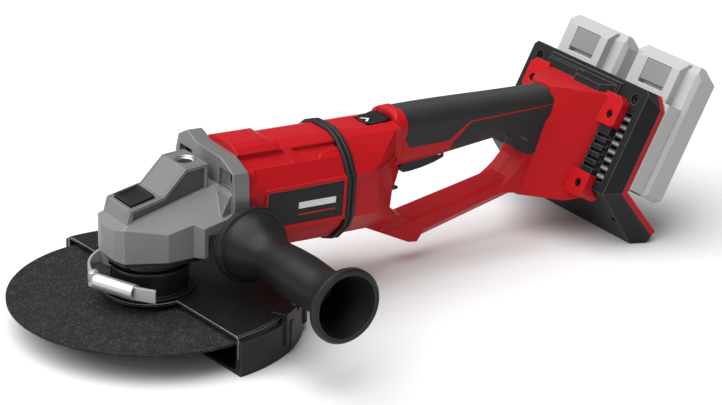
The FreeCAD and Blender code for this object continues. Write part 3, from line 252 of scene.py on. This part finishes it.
def frame_plastic():
    """Black plastic of the battery frame, with pale bars between the outer vent slots."""
    # The last argument paints a grey highlight on the rounded edges.
    s = moulded("frame_plastic", BLACK, 0.42, 0.30, 0.35, 0.9, 0.2, ((0.13, 0.13, 0.13), 0.7))
    side = s.calculate("ABSOLUTE", s.along(AXIS_Y), 0.0)
    up = s.along(PLATE_UP, PLATE_TOP)
    from_row = s.calculate("PINGPONG", s.calculate("SUBTRACT", up, VENT_TOP), VENT_PITCH / 2)
    bars = s.both(s.span(side, *VENT_BAR_SIDE), s.span(from_row, 2.6, 4.0), s.span(up, VENT_LOW, VENT_TOP))
    s.paint(bars, (0.20, 0.20, 0.20))
    return s.material


def label_plastic():
    """Dark label with plain printed bars: one white, one red."""
    s = moulded("label_plastic", BLACK, 0.5, 0.4, 0.2, 0.4, 0.1)
    along, up = s.along(MOTOR_AXIS, MOTOR_START), s.along(MOTOR_UP, MOTOR_START)
    s.paint(s.both(s.span(along, *LABEL_LENGTH), s.span(up, -1.5, 4.0)), (0.72, 0.72, 0.72))
    s.paint(s.both(s.span(along, *LABEL_LENGTH), s.span(up, -7.2, -5.8)), RED)
    return s.material


def button_plastic():
    """Black button with a small white arrow-shaped mark."""
    # The last argument paints a grey highlight on the rounded edges.
    s = moulded("button_plastic", BLACK, 0.34, 0.3, 0.15, 0.9, 0.1, ((0.09, 0.09, 0.09), 0.5))
    along, across = s.along(AXIS_X, SWIVEL_MARK), s.along(AXIS_Y)
    slant = s.calculate("ADD", s.calculate("ABSOLUTE", across, 0.0), along)
    s.paint(s.both(s.span(slant, 1.0, 3.4), s.span(across, -4.6, 4.6)), (0.75, 0.75, 0.75))
    return s.material


def soft_rubber():
    s = moulded("soft_rubber", (0.010, 0.010, 0.011), 0.58, 0.25, 0.45, 1.4, 0.2)
    s.surface.inputs["Sheen Weight"].default_value = 0.15
    s.surface.inputs["Sheen Roughness"].default_value = 0.5
    return s.material


def cast_grey():
    """Shot-blasted casting under grey lacquer, with dark side inlays and bare faces at the sockets."""
    s = Shader("cast_grey", (0.16, 0.163, 0.166), 0.42, 0.25)
    s.colour(s.mix(s.noise(35.0, 3.0), (0.150, 0.152, 0.154), (0.182, 0.184, 0.186)))
    s.vary_roughness(s.noise(160.0, 4.0), 0.38, 0.48)
    x, y, z = (s.along(axis) for axis in (AXIS_X, AXIS_Y, AXIS_Z))
    side = s.calculate("ABSOLUTE", y, 0.0)
    s.round_edges(1.2)
    # Painted highlight on the rounded edges, pale grey.
    s.paint_edge_highlights((0.36, 0.36, 0.36), 0.6)
    inlay = s.both(s.span(side, 15.9, 16.7), s.span(z, 92.0, 140.0), s.span(x, -30.0, 42.0))
    s.paint(inlay, (0.075, 0.076, 0.078))
    socket = s.both(s.round_span(x, y, TOP_SOCKET, 6.1, 8.7), s.span(z, 131.0, 136.0))
    thread = s.both(s.round_span(x, y, TOP_SOCKET, 5.0, 6.1),
                    s.span(s.calculate("PINGPONG", z, 1.0), 0.5, 1.2))
    boss = s.both(s.round_span(x, z, SIDE_BOSS, 0.0, 20.0), s.span(side, 53.9, 55.2))
    for mask in (socket, thread, boss):
        s.paint(mask, (0.62, 0.62, 0.62))
        s.polish(mask, 0.28, 1.0)
    s.bump(s.noise(1500.0, 4.0, 0.7), 0.3, 0.08)
    return s.material


def black_steel(name, edge_highlight):
    """Black powder-coated steel; the second argument is how strongly a highlight is painted on its rounded
    edges.
    """
    s = Shader(name, (0.008, 0.008, 0.009), 0.32, 0.15)
    s.surface.inputs["Specular IOR Level"].default_value = 0.35
    s.vary_roughness(s.noise(120.0, 5.0), 0.28, 0.42)
    s.round_edges(0.9)
    # Painted highlight on the rounded edges, pale grey.
    s.paint_edge_highlights((0.42, 0.42, 0.42), edge_highlight)
    s.bump(s.noise(1800.0, 3.0), 0.2, 0.04)
    return s.material


def bright_steel():
    """Zinc-plated pressing with faint rolling lines."""
    s = Shader("bright_steel", (0.72, 0.72, 0.71), 0.36, 0.8)
    s.colour(s.mix(s.noise(60.0, 3.0), (0.62, 0.62, 0.61), (0.78, 0.78, 0.77)))
    s.vary_roughness(s.noise(300.0, 3.0, 0.6, (1.0, 1.0, 8.0)), 0.32, 0.44)
    s.round_edges(0.5)
    s.bump(s.noise(160.0, 2.0, 0.5), 0.05, 0.05)
    return s.material


def machined_steel():
    s = Shader("machined_steel", (0.42, 0.42, 0.42), 0.3, 1.0)
    s.vary_roughness(s.noise(240.0, 4.0), 0.22, 0.42)
    s.round_edges(0.3)
    s.bump(s.noise(900.0, 3.0, 0.6, (1.0, 1.0, 12.0)), 0.15, 0.03)
    return s.material


def black_oxide():
    s = Shader("black_oxide", (0.02, 0.02, 0.021), 0.38, 0.8)
    s.vary_roughness(s.noise(400.0, 4.0), 0.3, 0.5)
    s.round_edges(0.3)
    s.bump(s.noise(1500.0, 3.0), 0.2, 0.03)
    return s.material


def disc_fibre():
    """Resin-bonded grit over glass cloth: dark body, pale grains in patches and a fine bumped surface."""
    s = Shader("disc_fibre", (0.03, 0.03, 0.03), 0.85)
    body = s.mix(s.noise(70.0, 6.0, 0.7), (0.005, 0.005, 0.006), (0.018, 0.018, 0.019))
    s.surface.inputs["Specular IOR Level"].default_value = 0.16
    grains = s.range(s.noise(1500.0, 2.0, 0.7), 0.58, 0.70, 0.0, 1.0)
    patches = s.range(s.noise(180.0, 3.0, 0.6), 0.35, 0.65, 0.15, 1.0)
    s.colour(s.mix(s.both(grains, patches), body, (0.26, 0.26, 0.255)))
    s.round_edges(0.3)
    s.bump(s.noise(900.0, 6.0, 0.8), 0.8, 0.3)
    return s.material


def pack_plastic(name, colour):
    """Pale pack plastic with two rows of small moulded dots under the button."""
    # The last argument paints a highlight, a quarter lighter than the pack's colour, on the rounded edges.
    s = moulded(name, colour, 0.55, 0.5, 0.2, 1.6, 0.04, (tuple(c * 1.25 for c in colour), 0.6))
    side = s.calculate("SUBTRACT", s.calculate("ABSOLUTE", s.along(AXIS_Y), 0.0), PACK_MIDDLE)
    up = s.along(PLATE_UP, PLATE_TOP)
    column = s.calculate("PINGPONG", side, 2.0)
    row = s.calculate("PINGPONG", up, 2.0)
    dots = s.both(s.round_span(column, row, (0.0, 0.0), 0.0, 0.75), s.span(side, -13.0, 13.0),
                  s.span(up, -1.0, 5.0))
    s.paint(dots, tuple(min(1.0, c * 1.5) for c in colour))
    s.surface.inputs["Subsurface Weight"].default_value = 0.15
    s.surface.inputs["Subsurface Radius"].default_value = (0.004, 0.004, 0.004)
    return s.material


def copper():
    s = Shader("copper", (0.55, 0.23, 0.09), 0.32, 1.0)
    s.vary_roughness(s.noise(300.0, 3.0), 0.25, 0.4)
    s.bump(s.noise(1200.0, 2.0, 0.5, (1.0, 8.0, 8.0)), 0.4, 0.1)
    return s.material


def board():
    s = Shader("board", (0.015, 0.09, 0.035), 0.4)
    tracks = s.range(s.noise(700.0, 2.0), 0.52, 0.56, 0.0, 1.0)
    s.colour(s.mix(tracks, (0.012, 0.08, 0.03), (0.02, 0.14, 0.05)))
    s.bump(s.noise(700.0, 2.0), 0.3, 0.05)
    return s.material


# ---------------------------------------------------------------- finish of the CAD nodes
def smooth_by_angle(limit):
    """Modifier group that joins the facets' shared points and smooths every edge under a limit in degrees."""
    tree = bpy.data.node_groups.new("smooth_under_%d" % limit, "GeometryNodeTree")
    tree.interface.new_socket("Geometry", in_out="INPUT", socket_type="NodeSocketGeometry")
    tree.interface.new_socket("Geometry", in_out="OUTPUT", socket_type="NodeSocketGeometry")
    nodes, links = tree.nodes, tree.links
    start = nodes.new("NodeGroupInput")
    end = nodes.new("NodeGroupOutput")
    merge = nodes.new("GeometryNodeMergeByDistance")
    merge.inputs["Distance"].default_value = 0.00001
    faces = nodes.new("GeometryNodeSetShadeSmooth")
    faces.domain = "FACE"
    angle = nodes.new("GeometryNodeInputMeshEdgeAngle")
    sharp = nodes.new("FunctionNodeCompare")
    sharp.data_type = "FLOAT"
    sharp.operation = "GREATER_THAN"
    sharp.inputs[1].default_value = math.radians(limit)
    edges = nodes.new("GeometryNodeSetShadeSmooth")
    edges.domain = "EDGE"
    edges.inputs["Shade Smooth"].default_value = False
    links.new(start.outputs[0], merge.inputs["Geometry"])
    links.new(merge.outputs["Geometry"], faces.inputs["Geometry"])
    links.new(faces.outputs["Geometry"], edges.inputs["Geometry"])
    links.new(angle.outputs["Unsigned Angle"], sharp.inputs[0])
    links.new(sharp.outputs[0], edges.inputs["Selection"])
    links.new(edges.outputs["Geometry"], end.inputs[0])
    return tree


SOFT_LIMIT, CRISP_LIMIT = 32, 14     # degrees under which an edge is smoothed
CRISP = ("cast_grey", "red_plastic", "frame_plastic", "pack_plastic")


def dress(materials, plan):
    """Gives each node its material and its smoothing."""
    soft, crisp = smooth_by_angle(SOFT_LIMIT), smooth_by_angle(CRISP_LIMIT)
    for finish, names in plan.items():
        for name in names:
            node = NODES[name]
            node.data.materials.clear()
            node.data.materials.append(materials[finish])
            modifier = node.modifiers.new("smooth", "NODES")
            modifier.node_group = crisp if finish in CRISP else soft


FINISHES = {
    "cast_grey": ["gear_housing"],
    "machined_steel": [
        "spindle", "crown_gear", "drive_pinion", "motor_shaft", "spindle_bearing_lower",
        "spindle_bearing_upper", "motor_bearings", "inner_flange", "clamping_nut", "stator_core",
        "rotor_core", "lock_spring", "lock_pin", "side_handle_stud", "trigger_pin", "trigger_spring",
        "lock_off_spring", "swivel_button_spring"],
    "black_oxide": ["frame_screws", "gear_housing_screws", "bearing_flange_screws", "shell_screws"],
    "bright_steel": ["clamp_lever", "clamp_link", "clamp_pin"],
    "black_steel": ["guard_collar", "bearing_flange"],
    "guard_steel": ["guard_shell"],
    "disc_fibre": ["cutting_disc"],
    "black_plastic": [
        "guard_cover", "side_handle_grip", "lock_button", "swivel_ring_front", "swivel_ring_rear",
        "trigger", "lock_off_button", "motor_end_plate", "switch_module", "cooling_fan", "dock_rails"],
    "frame_plastic": ["battery_frame", "vent_grilles"],
    "label_plastic": ["side_badges"],
    "button_plastic": ["swivel_button"],
    "red_plastic": ["motor_housing", "rear_shell_left", "rear_shell_right", "battery_back"],
    "soft_rubber": ["grip_sleeve", "grip_pad"],
    "copper": ["stator_windings", "battery_terminals"],
    "board": ["controller_board"],
    "pack_plastic": ["pack_left_case", "pack_right_case"],
    "pack_button": ["pack_left_latch", "pack_right_latch"],
    "cell_sleeve": ["pack_left_cells", "pack_right_cells"],
}


# ---------------------------------------------------------------- studio
def studio_floor():
    mesh = bpy.data.meshes.new("floor")
    shape = bmesh.new()
    bmesh.ops.create_grid(shape, x_segments=1, y_segments=1, size=6.0)
    shape.to_mesh(mesh)
    shape.free()
    floor = bpy.data.objects.new("floor", mesh)
    bpy.context.scene.collection.objects.link(floor)
    s = Shader("floor", (0.74, 0.74, 0.74), 0.8)
    s.vary_roughness(s.noise(3.0), 0.76, 0.84)
    mesh.materials.append(s.material)


def area_light(name, place, target, size, power):
    data = bpy.data.lights.new(name, "AREA")
    data.shape = "RECTANGLE"
    data.size, data.size_y = size
    data.energy = power
    light = bpy.data.objects.new(name, data)
    light.location = place
    light.rotation_euler = (Vector(target) - Vector(place)).to_track_quat("-Z", "Y").to_euler()
    bpy.context.scene.collection.objects.link(light)


def studio_light():
    world = bpy.data.worlds.new("studio")
    world.use_nodes = True
    world.node_tree.nodes["Background"].inputs["Color"].default_value = (1.0, 1.0, 1.0, 1.0)
    world.node_tree.nodes["Background"].inputs["Strength"].default_value = 0.22
    bpy.context.scene.world = world
    data = bpy.data.lights.new("sky_panel", "SUN")
    data.energy = 4.55
    data.angle = math.radians(78.0)
    panel = bpy.data.objects.new("sky_panel", data)
    panel.rotation_euler = Vector((-0.42, 0.16, 1.0)).to_track_quat("Z", "Y").to_euler()
    bpy.context.scene.collection.objects.link(panel)
    area_light("side", (-1.6, -0.9, 0.8), (-0.1, 0.0, 0.08), (0.5, 1.0), 6.0)


# ---------------------------------------------------------------- camera
CAMERA_AZIMUTH = math.radians(-34.96)
CAMERA_ELEVATION = math.radians(22.42)
CAMERA_ROLL = math.radians(1.70)
CAMERA_TARGET = at(200.0, 0.0, 70.0)
CAMERA_DISTANCE = 2.1366
SENSOR_WIDTH, LENS = 36.0, 127.0
LENS_SHIFT = (0.0060, -0.01324)


def camera():
    azimuth, elevation = CAMERA_AZIMUTH, CAMERA_ELEVATION
    back = Vector((math.sin(azimuth) * math.cos(elevation), -math.cos(azimuth) * math.cos(elevation),
                   math.sin(elevation)))
    right = Vector((math.cos(azimuth), math.sin(azimuth), 0.0))
    up = back.cross(right)
    rolled_right = right * math.cos(CAMERA_ROLL) + up * math.sin(CAMERA_ROLL)
    rolled_up = up * math.cos(CAMERA_ROLL) - right * math.sin(CAMERA_ROLL)
    turn = Matrix((rolled_right, rolled_up, back)).transposed()
    data = bpy.data.cameras.new("camera")
    data.sensor_width = SENSOR_WIDTH
    data.lens = LENS
    data.shift_x, data.shift_y = LENS_SHIFT
    eye = bpy.data.objects.new("camera", data)
    eye.matrix_world = Matrix.Translation(CAMERA_TARGET + back * CAMERA_DISTANCE) @ turn.to_4x4()
    bpy.context.scene.collection.objects.link(eye)
    bpy.context.scene.camera = eye


MATERIALS = {
    "cast_grey": cast_grey(),
    "machined_steel": machined_steel(),
    "black_oxide": black_oxide(),
    "bright_steel": bright_steel(),
    # The second number is the strength of the highlight painted on the rounded edges: faint on the collar and
    # flange, strong on the guard shell.
    "black_steel": black_steel("black_steel", 0.15),
    "guard_steel": black_steel("guard_steel", 0.9),
    "disc_fibre": disc_fibre(),
    "black_plastic": black_plastic(),
    "frame_plastic": frame_plastic(),
    "label_plastic": label_plastic(),
    "button_plastic": button_plastic(),
    "red_plastic": red_plastic(),
    "soft_rubber": soft_rubber(),
    "copper": copper(),
    "board": board(),
    "pack_plastic": pack_plastic("pack_plastic", (0.40, 0.40, 0.40)),
    "pack_button": pack_plastic("pack_button", (0.22, 0.22, 0.22)),
    "cell_sleeve": pack_plastic("cell_sleeve", (0.25, 0.27, 0.3)),
}
dress(MATERIALS, FINISHES)
studio_floor()
studio_light()
camera()
bpy.context.scene.view_settings.view_transform = "Standard"
